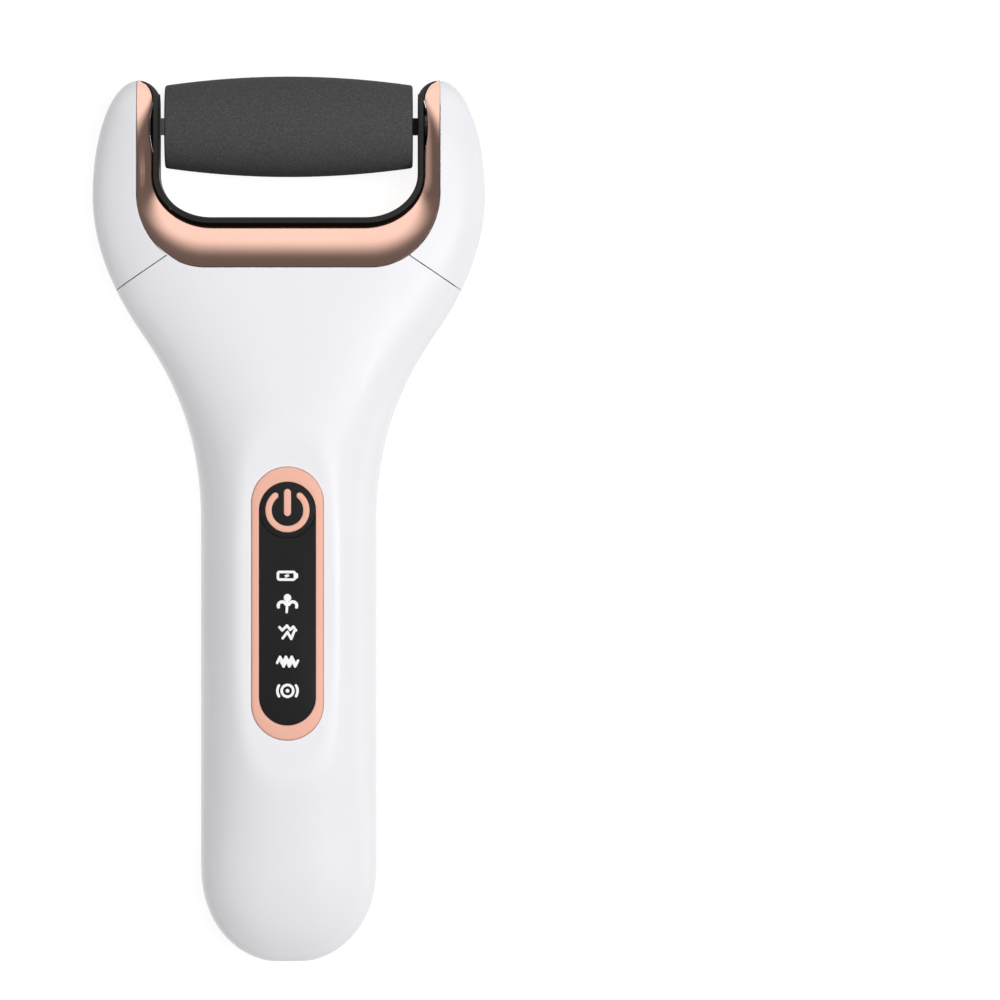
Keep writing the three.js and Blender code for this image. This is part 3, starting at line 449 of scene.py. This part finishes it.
MATERIALS = {
    "white_gloss": moulded("white_gloss", (0.86, 0.86, 0.89), 0.30, edge=0.22, Coat_Weight=0.25,
                           Coat_Roughness=0.12),
    "rose_gold": metal("rose_gold", (0.90, 0.56, 0.45), 0.14, edge=0.12, grain=0.0006),
    "peach_satin": moulded("peach_satin", (0.90, 0.49, 0.375), 0.42, edge=0.12, Metallic=0.1),
    "black_gloss": moulded("black_gloss", (0.0125, 0.0125, 0.013), 0.22, edge=0.08),
    "black_plastic": moulded("black_plastic", (0.017, 0.016, 0.015), 0.5, edge=0.15, Specular_IOR_Level=0.3),
    "abrasive": abrasive("abrasive"),
    "grey_plastic": moulded("grey_plastic", (0.1, 0.1, 0.11), 0.5),
    "natural_plastic": moulded("natural_plastic", (0.74, 0.70, 0.60), 0.45, edge=0.05),
    "steel": metal("steel", (0.62, 0.62, 0.64), 0.28, brush=1, edge=0.08),
    "dark_steel": metal("dark_steel", (0.14, 0.14, 0.15), 0.42, edge=0.08),
    "switch_metal": metal("switch_metal", (0.45, 0.45, 0.46), 0.35),
    "board_green": moulded("board_green", (0.02, 0.11, 0.05), 0.35),
    "led_lens": moulded("led_lens", (0.85, 0.85, 0.83), 0.3, Emission_Color=(1, 1, 1, 1),
                        Emission_Strength=0.1),
    "cell_wrap": moulded("cell_wrap", (0.05, 0.18, 0.42), 0.25),
    "nickel": metal("nickel", (0.62, 0.6, 0.56), 0.25, brush=1),
    "wire_red": moulded("wire_red", (0.5, 0.02, 0.02), 0.45),
    "wire_black": moulded("wire_black", (0.02, 0.02, 0.02), 0.45),
}


def finish_with(obj, slot):
    obj.data.materials.clear()
    obj.data.materials.append(MATERIALS[slot].material)


def dress(obj, slot, body, *nodes):
    """Gives a new piece its material, its body and the CAD nodes that it stands for."""
    finish_with(obj, slot)
    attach(obj, body)
    if nodes:
        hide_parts(*nodes)


def dress_frame():
    """Every CAD node keeps its shape and takes the material of its slot."""
    for part in frame["record"]["subparts"]:
        obj = frame["nodes"][part["node"]]
        finish_with(obj, part["material_slot"])


# ------------------------------------------------------------------ camera, floor and light


def build_camera():
    """Straight down on the front face, far off with a long lens, displaced beside the object."""
    span, distance = 190 * MM, 2.0
    data = bpy.data.cameras.new("camera")
    data.sensor_width = 36
    data.lens = data.sensor_width * distance / span
    data.clip_end = 20
    camera = bpy.data.objects.new("camera", data)
    bpy.context.scene.collection.objects.link(camera)
    centre_x, centre_station, level = 40.1, 87.9, PARTING
    camera.location = Vector((centre_x, centre_station + SHIFT, level)) * MM + Vector((0, 0, distance))
    bpy.context.scene.camera = camera


def softbox(name, place, size, power, seen_in_gloss):
    """Soft lamp aimed at the device; it lights either matt surfaces or reflections."""
    data = bpy.data.lights.new(name, "AREA")
    data.shape = "RECTANGLE"
    data.size, data.size_y = size
    data.energy = power
    light = bpy.data.objects.new(name, data)
    light.location = place
    light.rotation_euler = (Vector((0, 0, PARTING * MM)) - Vector(place)).to_track_quat("-Z", "Y").to_euler()
    light.visible_camera = False
    light.visible_glossy = seen_in_gloss
    light.visible_diffuse = not seen_in_gloss
    bpy.context.scene.collection.objects.link(light)


def build_world():
    """Dim overhead, bright beyond the head and a little brighter to the left; seen in reflections only."""
    world = bpy.data.worlds.new("studio")
    bpy.context.scene.world = world
    world.use_nodes = True
    world.cycles_visibility.diffuse = False
    tree = world.node_tree

    def math_node(operation, *values):
        node = tree.nodes.new("ShaderNodeMath")
        node.operation = operation
        for socket, value in zip(node.inputs, values):
            if isinstance(value, (int, float)):
                socket.default_value = value
            else:
                tree.links.new(value, socket)
        return node.outputs["Value"]

    def glow(source, start, end, level):
        ramp = tree.nodes.new("ShaderNodeMapRange")
        ramp.interpolation_type = "SMOOTHSTEP"
        for socket, value in (("From Min", start), ("From Max", end), ("To Min", 0), ("To Max", level)):
            ramp.inputs[socket].default_value = value
        tree.links.new(source, ramp.inputs["Value"])
        return ramp.outputs["Result"]

    axes = tree.nodes.new("ShaderNodeSeparateXYZ")
    tree.links.new(tree.nodes.new("ShaderNodeTexCoord").outputs["Generated"], axes.inputs["Vector"])
    across, along = axes.outputs["X"], axes.outputs["Y"]
    dim, lean = 0.15, -0.25
    beyond_head = math_node("MULTIPLY_ADD", math_node("ABSOLUTE", across), lean, along)
    total = math_node("ADD", glow(beyond_head, 0.15, 0.5, 1.05), glow(across, -0.55, -1.0, 0.3))
    background = tree.nodes["Background"]
    background.inputs["Color"].default_value = (1, 1, 1, 1)
    tree.links.new(math_node("ADD", total, dim), background.inputs["Strength"])


def build_stage():
    half = 3.0
    mesh = bpy.data.meshes.new("floor")
    corners = [(-half, -half, 0), (half, -half, 0), (half, half, 0), (-half, half, 0)]
    mesh.from_pydata(corners, [], [(0, 1, 2, 3)])
    floor = bpy.data.objects.new("floor", mesh)
    bpy.context.scene.collection.objects.link(floor)
    paper = Nodes("floor_paper")
    paper.colour(paper.ramp(paper.noise(8, 2), [(0.3, (0.24, 0.24, 0.24)), (0.7, (0.26, 0.26, 0.26))]))
    paper.set(Roughness=0.9, Specular_IOR_Level=0.1, Emission_Color=(1, 1, 1, 1), Emission_Strength=0.85)
    mesh.materials.append(paper.material)

    build_world()
    softbox("key", (0.64, 0.0, 1.34), (0.8, 0.9), 13.0, False)
    softbox("overhead", (0.08, 0.1, 1.55), (0.7, 0.7), 12.0, False)
    softbox("strip_right", (0.845, 0.0, 1.59), (0.06, 0.9), 1.0, True)
    bpy.context.scene.view_settings.view_transform = "Standard"


# ------------------------------------------------------------------ casing


def body_stations(inset, steps):
    """Dense where the form turns fast: the rounded handle end and the ear tips."""
    tip_start = 146
    cap = inset + (CAP_LENGTH - inset) * (1 - np.cos(np.linspace(0.02, 1, steps // 4) * math.pi / 2))
    middle = np.linspace(CAP_LENGTH, tip_start, steps // 2 + 1)[1:-1]
    turn = np.linspace(0, 1, steps // 4) * math.pi / 2
    return np.concatenate([cap, middle, tip_start + (EAR_TIP - inset - tip_start) * np.sin(turn)])


def body_form(name, inset, steps, sides):
    """The outer form, or the hollow inside it when an inset is given."""
    angles = np.linspace(0, 2 * math.pi, sides, endpoint=False)
    c, d = np.cos(angles), np.sin(angles)
    rings = []
    for s in body_stations(inset, steps):
        power = 2 / section_power(s)
        height = np.where(d >= 0, half_height(s, 1, inset), half_height(s, -1, inset))
        x = half_width(s, inset) * np.sign(c) * np.abs(c) ** power
        z = PARTING + np.sign(d) * height * np.abs(d) ** power
        z = soft_min(z, DISH_FLOOR - inset, 0.6)
        z = soft_max(z, inset, 0.3)
        rings.append(np.column_stack([x, np.full(sides, s), z]))
    return loft(name, rings)


def cradle_path(form, inset, corner_steps=40, arm_steps=24, tip_steps=14, tip_angle=86):
    """Plan outline of the U from the left arm's tip to the right arm's tip."""
    outer = form is OUTER
    half = form["half"] + (0 if outer else inset)
    base = form["base"] - (0 if outer else inset)
    corner_x = form["corner_x"] + (0 if outer else inset)
    corner_y = form["corner_y"] + (0 if outer else inset)
    tip_width = OUTER["half"] - half
    tip_start = EAR_TIP - TIP_ROUND
    tip = np.radians(tip_angle) * (1 - np.arange(tip_steps + 1) / tip_steps)
    arm_end = base + corner_y
    arm = np.arange(1, arm_steps + 1) / arm_steps
    corner = np.arange(1, corner_steps + 1) / corner_steps * math.pi / 2
    right = np.vstack([
        np.column_stack([half + tip_width * (1 - np.cos(tip)), tip_start + TIP_ROUND * np.sin(tip)]),
        np.column_stack([np.full(arm_steps, half), tip_start + (arm_end - tip_start) * arm]),
        np.column_stack([half - corner_x * (1 - np.cos(corner)), arm_end - corner_y * np.sin(corner)]),
    ])
    left = right * (-1, 1)
    flat = np.linspace(left[-1], right[-1], 26)[1:-1]
    return np.vstack([left, flat, right[::-1]])


def cradle_window(gap):
    path = cradle_path(OUTER, 0)
    grow = (OUTER["half"] + gap) / OUTER["half"]
    edge = path * (grow, 1) - (0, gap)
    side = OUTER["half"] + gap
    return prism("window", np.vstack([[(-side, PAST_TIP)], edge, [(side, PAST_TIP)]]), *CUT_UP)


def seam_block(side, shift):
    """Everything on the ear's side of the seam that runs from the U's corner to the silhouette."""
    def seam(x):
        return SEAM_TOP - (x - OUTER["half"] + 5.4) * SEAM_FALL + shift

    near, far = 12, CUT_ACROSS[1]
    corners = [(near, seam(near)), (far, seam(far)), (far, PAST_TIP), (near, PAST_TIP)]
    return prism("seam", [(side * x, y) for x, y in corners], *CUT_UP)


def screw_places():
    boxes = [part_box(f"case_screw_{i}") for i in range(1, 6)]
    return [tuple((low + high) / 2 / MM) for low, high in boxes]


def build_casing():
    shell = body_form("shell", 0, 300, 176)
    boolean(shell, "DIFFERENCE", body_form("hollow", WALL, 80, 64), cradle_window(FIT),
            block("flat", CUT_ACROSS, (BEFORE_END, BOTTOM_FLAT), CUT_UP))
    for name, side in (("left_ear", -1), ("right_ear", 1)):
        ear = boolean(duplicate(shell, name), "INTERSECT", seam_block(side, SEAM_GAP / 2))
        smooth(ear)
        dress(ear, "white_gloss", "root", f"{name}_cover")

    boolean(shell, "DIFFERENCE", seam_block(-1, -SEAM_GAP / 2), seam_block(1, -SEAM_GAP / 2),
            block("top", CUT_ACROSS, (EAR_RISE, PAST_TIP), CUT_UP))
    low, high = (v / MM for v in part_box("usb_socket"))
    across, up = (low.x - MOUTH_GAP, high.x + MOUTH_GAP), (low.z - MOUTH_GAP, high.z + MOUTH_GAP)
    boolean(shell, "DIFFERENCE", block("mouth", across, (-2, WALL + 3), up))

    rear = boolean(duplicate(shell, "rear_casing"), "INTERSECT",
                   block("rear", CUT_ACROSS, (BEFORE_END, PAST_TIP), (CUT_UP[0], PARTING - SEAM_GAP / 2)))
    core = body_form("core", WALL / 2, 80, 64)
    for x, y, _ in screw_places():
        station = y - SHIFT
        boss = prism("boss", circle(x, station, SCREW_BOSS), 0, PARTING - 0.5)
        boolean(rear, "UNION", boolean(boss, "INTERSECT", duplicate(core, "core_copy")))
        boolean(rear, "DIFFERENCE", prism("bore", circle(x, station, SCREW_BORE), -5, SCREW_SEAT),
                prism("hole", circle(x, station, SCREW_HOLE), -5, 30))
    bpy.data.objects.remove(core)
    smooth(rear)
    dress(rear, "white_gloss", "root", "rear_shell")

    half, reach = PANEL_HALF + BEZEL_WIDTH + PANEL_GAP, BEZEL_END + PANEL_GAP
    opening = oval(PANEL_LOW - reach, PANEL_HIGH + reach, half, 64)
    front = boolean(shell, "INTERSECT",
                    block("front", CUT_ACROSS, (BEFORE_END, PAST_TIP), (PARTING + SEAM_GAP / 2, CUT_UP[1])))
    boolean(front, "DIFFERENCE", prism("panel", opening, 20, 40))
    front.name = "front_casing"
    smooth(front)
    dress(front, "white_gloss", "root", "front_shell")


# ------------------------------------------------------------------ cradle


def cradle_sweep(name, outer, inner, shrink, steps=22):
    """D-section band: rounded from its outer edge down to a flat inner wall, front and back."""
    angle = np.arange(steps + 1) / steps * TRIM_TURN
    rings = []
    for (ox, oy), (ix, iy) in zip(outer, inner):
        ring = []
        for side in (1, -1):
            top = float(skin_height(ox, min(oy, EAR_TIP - 0.4), side)) - shrink
            turn = angle if side > 0 else angle[::-1]
            share = np.sin(turn) / math.sin(TRIM_TURN)
            fall = (1 - np.cos(turn)) / (1 - math.cos(TRIM_TURN))
            z = PARTING + side * top * (1 - DROP_SHARE * fall)
            ring.append(np.column_stack([ox + (ix - ox) * share, oy + (iy - oy) * share, z]))
        rings.append(np.vstack(ring))
    return loft(name, rings, 40)


def slot_cutters():
    low, high = (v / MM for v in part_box("idler_axle"))
    half = (high.z - low.z) / 2 + 0.15
    zs = (PARTING - half, PARTING + half)
    ys = (ROLLER_STATION - half, 190)
    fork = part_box("drive_fork")
    radius = (fork[1].y - fork[0].y) / 2 / MM + RUNNING_GAP
    return [block("slot", (24, 27), ys, zs), block("slot", (-27, -24), ys, zs),
            rod_x("fork_hole", radius, 24, 27.9, ROLLER_STATION, PARTING)]


def build_cradle():
    outer = cradle_path(OUTER, 0)
    trim = cradle_sweep("cradle_band", outer, cradle_path(INNER, LINER + FIT), 0)
    hollow = cradle_sweep("hollow", outer * (1.06, 1) - (0, 2),
                          cradle_path(INNER, LINER + FIT + TRIM_WALL), TRIM_WALL)
    hubs = [prism("hub", circle(side * INNER["half"], ROLLER_STATION, HUB_DEPTH + HUB_GAP, 64,
                                HUB_RADIUS + HUB_GAP), *CUT_UP) for side in (-1, 1)]
    boolean(trim, "DIFFERENCE", hollow, *hubs, *slot_cutters())
    smooth(trim, 40)
    dress(trim, "rose_gold", "root", "cradle_trim")

    inner, back = cradle_path(INNER, 0), cradle_path(INNER, LINER + FIT - SEEN_FIT)
    rings = []
    edge = 0.25
    for (ix, iy), (bx, by), (ox, oy) in zip(inner, back, outer):
        top = float(skin_height(ox, min(oy, EAR_TIP - 0.4), -1))
        reach = top * (1 - DROP_SHARE) + 0.3
        ring = []
        for side in (-1, 1):
            for share, drop in ((0, 0), (1 - edge, 0), (1, edge))[::side * -1]:
                ring.append((bx + (ix - bx) * share, by + (iy - by) * share, PARTING + side * (reach - drop)))
        rings.append(ring)
    liner = loft("cradle_lining", rings, 40)
    for side in (-1, 1):
        boss = dome(side)
        boolean(boss, "DIFFERENCE", block("face", (-INNER["half"], INNER["half"]), (100, 200), CUT_UP))
        boolean(liner, "UNION", boss)
    boolean(liner, "DIFFERENCE", *slot_cutters())
    smooth(liner, 40)
    dress(liner, "black_plastic", "root", "cradle_liner")


def dome(side):
    """Round hub boss on an arm's inner face."""
    rings = []
    for tilt in np.linspace(0.02, math.pi - 0.02, 48):
        turn = np.linspace(0, 2 * math.pi, 96, endpoint=False)
        rings.append(np.column_stack([
            np.full(96, side * INNER["half"] + HUB_DEPTH * math.cos(tilt)),
            ROLLER_STATION + HUB_RADIUS * math.sin(tilt) * np.cos(turn),
            PARTING + HUB_HEIGHT * math.sin(tilt) * np.sin(turn),
        ]))
    return loft("dome", rings)


# ------------------------------------------------------------------ roller


def build_roller():
    """Barrel with fine grit as real relief on its round face."""
    random = np.random.default_rng(7)
    edge, bore, sunk, grit = 0.55, 6.0, 0.02, 0.018
    rows, sides = 230, 360
    x = np.linspace(-1, 1, rows) * (ROLLER_HALF - edge)
    radius = ROLLER_END + (ROLLER_MIDDLE - ROLLER_END) * (1 - (x / ROLLER_HALF) ** 2) - sunk
    turn = np.linspace(0, 2 * math.pi, sides, endpoint=False)
    relief = random.normal(0, 1, (rows, sides))
    relief = (relief + np.roll(relief, 1, 0) + np.roll(relief, 1, 1)) / 3
    body = radius[:, None] + np.clip(relief, -1, 1) * grit

    def ring(place, r):
        r = np.broadcast_to(r, sides)
        y, z = ROLLER_STATION + r * np.cos(turn), PARTING + r * np.sin(turn)
        return np.column_stack([np.full(sides, place), y, z])

    corner = []
    for a in np.linspace(0, math.pi / 2, 7)[:-1]:
        corner.append((ROLLER_HALF - edge * (1 - math.cos(a)), radius[0] - edge + edge * math.sin(a)))
    rings = [ring(-ROLLER_HALF, bore)]
    rings += [ring(-place, r) for place, r in corner]
    rings += [ring(place, r) for place, r in zip(x, body)]
    rings += [ring(place, r) for place, r in reversed(corner)]
    rings += [ring(ROLLER_HALF, bore), rings[0]]
    sleeve = loft("roller_barrel", rings, 50, poles=False)
    edit_mesh(sleeve, lambda mesh: bmesh.ops.remove_doubles(mesh, verts=mesh.verts, dist=1e-7))
    smooth(sleeve, 50)
    dress(sleeve, "abrasive", "roller", "roller_sleeve")


def edit_mesh(obj, action):
    mesh = bmesh.new()
    mesh.from_mesh(obj.data)
    action(mesh)
    mesh.to_mesh(obj.data)
    mesh.free()
    obj.data.update()


# ------------------------------------------------------------------ panel


def rounded_plate(name, outline, low, high, edge, steps=4):
    """Plate whose top rim is rounded by drawing the outline in towards its own normal."""
    outline = np.asarray(outline, float)
    forward = np.roll(outline, -1, 0) - np.roll(outline, 1, 0)
    normal = np.column_stack([forward[:, 1], -forward[:, 0]])
    normal /= np.linalg.norm(normal, axis=1)[:, None]
    rings = [np.column_stack([outline, np.full(len(outline), low)])]
    for i in range(steps + 1):
        a = i / steps * math.pi / 2
        inward = outline - normal * edge * (1 - math.cos(a))
        rings.append(np.column_stack([inward, np.full(len(outline), high - edge * (1 - math.sin(a)))]))
    return loft(name, rings, 40)


def build_panel():
    outer_half = PANEL_HALF + BEZEL_WIDTH
    outer = oval(PANEL_LOW - BEZEL_END, PANEL_HIGH + BEZEL_END, outer_half, 64)
    ring = rounded_plate("bezel_ring", outer, BEZEL_TOP - BEZEL_THICK, BEZEL_TOP, 0.35)
    inner = oval(PANEL_LOW - PANEL_GAP, PANEL_HIGH + PANEL_GAP, PANEL_HALF + PANEL_GAP, 64)
    boolean(ring, "DIFFERENCE", prism("inner", inner, 0, 50))
    smooth(ring, 40)
    dress(ring, "peach_satin", "root", "panel_bezel")

    key_radius = PANEL_HALF - KEY_RIM
    window = oval(PANEL_LOW, PANEL_HIGH, PANEL_HALF, 64)
    lens = rounded_plate("panel_window", window, PANEL_TOP - PANEL_THICK, PANEL_TOP, 0.1)
    boolean(lens, "DIFFERENCE", prism("key", circle(0, BUTTON_STATION, key_radius + KEY_GAP, 128), 0, 50),
            block("end", (-10, 10), (BUTTON_STATION, 120), (0, 50)))
    smooth(lens, 40)
    dress(lens, "black_gloss", "root", "panel_lens")

    key_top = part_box("power_button")[1].z / MM
    outline = circle(0, BUTTON_STATION, key_radius, 128)
    key = rounded_plate("power_key", outline, PANEL_TOP - PANEL_THICK, key_top, 0.1)
    boolean(key, "UNION", prism("post", circle(0, BUTTON_STATION, KEY_POST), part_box("power_button")[0].z / MM,
                                PANEL_TOP - 1.2))
    smooth(key, 40)
    dress(key, "black_gloss", "button", "power_button")
    build_symbols(key_top)


def stroke(points, width, top, closed=False, sides=12, height=0.045):
    """Rings of one printed line: a low rounded band along a path, round at its ends when open."""
    path = np.asarray(points, float)
    scale = np.ones(len(path))
    if not closed:
        turn = np.radians([86, 70, 50, 30, 14])
        caps = []
        for end, inner in ((path[0], path[1]), (path[-1], path[-2])):
            outwards = (end - inner) / np.linalg.norm(end - inner)
            caps.append(end + np.outer(np.sin(turn), outwards) * width / 2)
        path = np.vstack([caps[0], path, caps[1][::-1]])
        scale = np.concatenate([np.cos(turn), scale, np.cos(turn)[::-1]])
    before, after = np.roll(path, 1, 0), np.roll(path, -1, 0)
    if not closed:
        before[0], after[-1] = path[0], path[-1]
    along = after - before
    along /= np.linalg.norm(along, axis=1)[:, None]
    across = np.column_stack([-along[:, 1], along[:, 0]]) * (scale * width / 2)[:, None]
    angles = np.linspace(0, 2 * math.pi, sides, endpoint=False)
    rings = np.empty((len(path), sides, 3))
    rings[:, :, :2] = path[:, None] + across[:, None] * np.cos(angles)[None, :, None]
    rings[:, :, 2] = top + height * np.sin(angles)
    return rings


def symbol(name, lines, slot, body, top):
    """One printed symbol; each line is (path, width), with True added when it closes on itself."""
    points, faces = [], []
    for path, width, *closed in lines:
        rings = stroke(path, width, top, bool(closed))
        rows, columns, _ = rings.shape
        start, last = len(points), (rows - 1) * columns
        points.extend(rings.reshape(-1, 3).tolist())
        grid = grid_faces(rows, columns)
        if closed:
            grid += [(last + c, last + (c + 1) % columns, (c + 1) % columns, c) for c in range(columns)]
        else:
            grid.append(tuple(reversed(range(columns))))
            grid.append(tuple(last + c for c in range(columns)))
        faces.extend([tuple(start + v for v in face) for face in grid])
    obj = new_object(name, points, faces, 60)
    edit_mesh(obj, lambda mesh: bmesh.ops.recalc_face_normals(mesh, faces=mesh.faces))
    dress(obj, slot, body)


def joined(points, width):
    """A bent line as straight lines with round ends, so that its corners are round."""
    return [([a, b], width) for a, b in zip(points, points[1:])]


def dot(x, y, radius):
    return ([(x - 0.01, y), (x + 0.01, y)], 2 * radius)


def arc(x, y, radius, start, end, steps=40):
    a = np.radians(np.linspace(start, end, steps))
    return np.column_stack([x + radius * np.cos(a), y + radius * np.sin(a)])


def rounded_rectangle(x, y, half_x, half_y, radius, steps=8):
    corners = [(1, 1, 0), (-1, 1, 90), (-1, -1, 180), (1, -1, 270)]
    parts = [arc(x + cx * (half_x - radius), y + cy * (half_y - radius), radius, a, a + 90, steps)
             for cx, cy, a in corners]
    return np.vstack(parts)


def build_symbols(key_top):
    # Power: an open ring with a bar in its gap, all with round ends.
    centre = BUTTON_STATION
    ring_width, bar_width = 1.23, 1.4
    ring = arc(0, centre, 4.19 - ring_width / 2, 90 + 40, 450 - 40, 72)
    bar = [(0, centre + 4.03 - bar_width / 2), (0, centre - 1.12 + bar_width / 2)]
    symbol("symbol_power", [(ring, ring_width), (bar, bar_width)], "peach_satin", "button", key_top)

    line = 0.5
    battery, leaf, zigzag, dense, waves = INDICATORS
    # Battery with a small bolt.
    bolt = [(0.2, battery + 0.3), (-0.5, battery), (0.3, battery), (-0.4, battery - 0.3)]
    icons = {"battery": [
        (rounded_rectangle(-0.2, battery, 1.6, 0.72, 0.35), line, True),
        ([(1.7, battery + 0.25), (1.7, battery - 0.25)], 0.6),
        *joined(bolt, 0.2),
    ]}
    # Gentle mode: a solid petal over two drooping side petals, on a short stem.
    icons["gentle"] = [
        dot(0, leaf + 1.15, 0.72),
        ([(0, leaf + 0.9), (-0.15, leaf - 1.55)], line),
        *((arc(side * 1.0, leaf - 0.35, 0.75, 90 - side * 110, 90 + side * 70, 20), 0.6) for side in (-1, 1)),
    ]
    # Speed modes: two stacked zigzags, then a denser pair.
    icons["speed_1"] = [
        *joined([(-1.5, zigzag + 1.0), (-1.0, zigzag + 0.4), (-0.1, zigzag + 1.3), (0.5, zigzag + 0.5),
                 (1.1, zigzag + 1.1), (1.6, zigzag + 0.4)], line),
        *joined([(-0.9, zigzag - 1.1), (0, zigzag + 0.1), (0.7, zigzag - 1.2), (1.3, zigzag + 0.3)], line),
    ]
    step = np.arange(7)
    saw = np.where(step % 2, 0.55, -0.55)
    icons["speed_2"] = [
        *joined(np.column_stack([-1.95 + step * 0.55, dense + 0.45 + saw]), line),
        *joined(np.column_stack([-1.3 + step * 0.55, dense - 0.25 - saw]), line),
    ]
    # Vibration: a ringed dot between two arcs.
    icons["vibration"] = [
        (arc(0, waves, 1.1, 0, 360, 33)[:-1], line, True),
        dot(0, waves, 0.36),
        (arc(0, waves, 1.9, -32, 32, 14), line),
        (arc(0, waves, 1.9, 148, 212, 14), line),
    ]
    for name, lines in icons.items():
        symbol(f"symbol_{name}", lines, "led_lens", "root", PANEL_TOP)


# ------------------------------------------------------------------ the whole object

build_camera()
build_stage()
dress_frame()
build_casing()
build_cradle()
build_roller()
build_panel()
